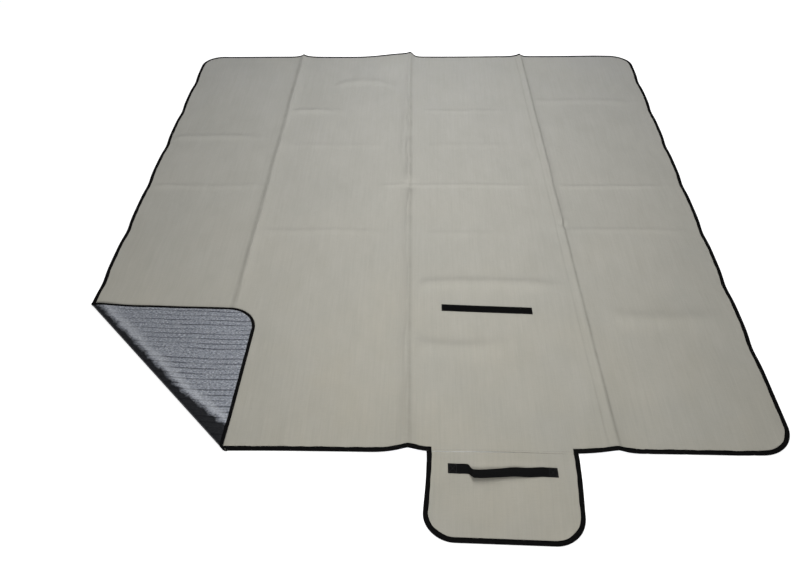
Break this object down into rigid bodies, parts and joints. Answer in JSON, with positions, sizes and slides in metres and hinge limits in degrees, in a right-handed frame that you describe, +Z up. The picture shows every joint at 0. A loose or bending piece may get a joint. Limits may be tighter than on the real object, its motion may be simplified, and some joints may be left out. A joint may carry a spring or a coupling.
{
  "type": "camp blanket",
  "caption": "Large bound foam-laminate ground mat with woven face and foil back, one corner turned over, and a near-edge closing flap with a webbing carrying handle.",
  "frame": {"origin": "on the ground under the middle of the whole length, flap included, and the middle of the width", "axes": "+Z up from the ground, +Y from the flap towards the far edge, +X to the right seen from the flap"},
  "size_m": [1.8, 2.226, 0.0159],
  "materials": {
    "woven_face": "matt, fine lengthwise streaky weave, warm light grey",
    "foam_core": "matt closed-cell foam",
    "foil_back": "embossed metallised film, satin silver",
    "edge_tape": "matt black woven binding",
    "handle_webbing": "matt black webbing",
    "hook_and_loop": "black hook-and-loop pile"
  },
  "bodies": {
    "root": {"right_inner_foil": "foil_back", "right_inner_foam": "foam_core", "right_inner_fabric": "woven_face", "right_inner_back_tape": "edge_tape", "near_tape_left_of_flap": "edge_tape", "near_tape_right_of_flap": "edge_tape", "loop_strip": "hook_and_loop"},
    "right_outer": {"right_outer_foil": "foil_back", "right_outer_foam": "foam_core", "right_outer_fabric": "woven_face", "right_outer_tape": "edge_tape"},
    "left_half": {"left_half_foil": "foil_back", "left_half_foam": "foam_core", "left_half_fabric": "woven_face", "left_side_tape": "edge_tape", "left_near_tape": "edge_tape"},
    "turned_corner": {"corner_foil": "foil_back", "corner_foam": "foam_core", "corner_fabric": "woven_face", "corner_tape": "edge_tape"},
    "flap": {"flap_foil": "foil_back", "flap_foam": "foam_core", "flap_fabric": "woven_face", "flap_tape": "edge_tape", "hook_strip": "hook_and_loop", "handle_end_left": "handle_webbing", "handle_end_right": "handle_webbing"},
    "handle": {"handle_strap": "handle_webbing"}
  },
  "joints": [
    {"name": "right_fold", "type": "hinge", "parent": "root", "child": "right_outer", "pos_m": [0.47, 0.113, 0.0059], "axis": [0, -1, 0], "range_deg": [0, 180]},
    {"name": "centre_fold", "type": "hinge", "parent": "root", "child": "left_half", "pos_m": [-0.01, 0.113, 0.01655], "axis": [0, 1, 0], "range_deg": [0, 180]},
    {"name": "flap_fold", "type": "hinge", "parent": "root", "child": "flap", "pos_m": [0.218, -0.887, 0.0144], "axis": [-1, 0, 0], "range_deg": [0, 180]},
    {"name": "corner_turn", "type": "hinge", "parent": "left_half", "child": "turned_corner", "pos_m": [-0.6645, -0.6445, 0.00345], "axis": [0.6967, -0.7174, 0], "range_deg": [0, 180]},
    {"name": "handle_swing", "type": "hinge", "parent": "flap", "child": "handle", "pos_m": [0.215, -0.9215, 0.0036], "axis": [1, 0, 0], "range_deg": [-90, 0]}
  ]
}
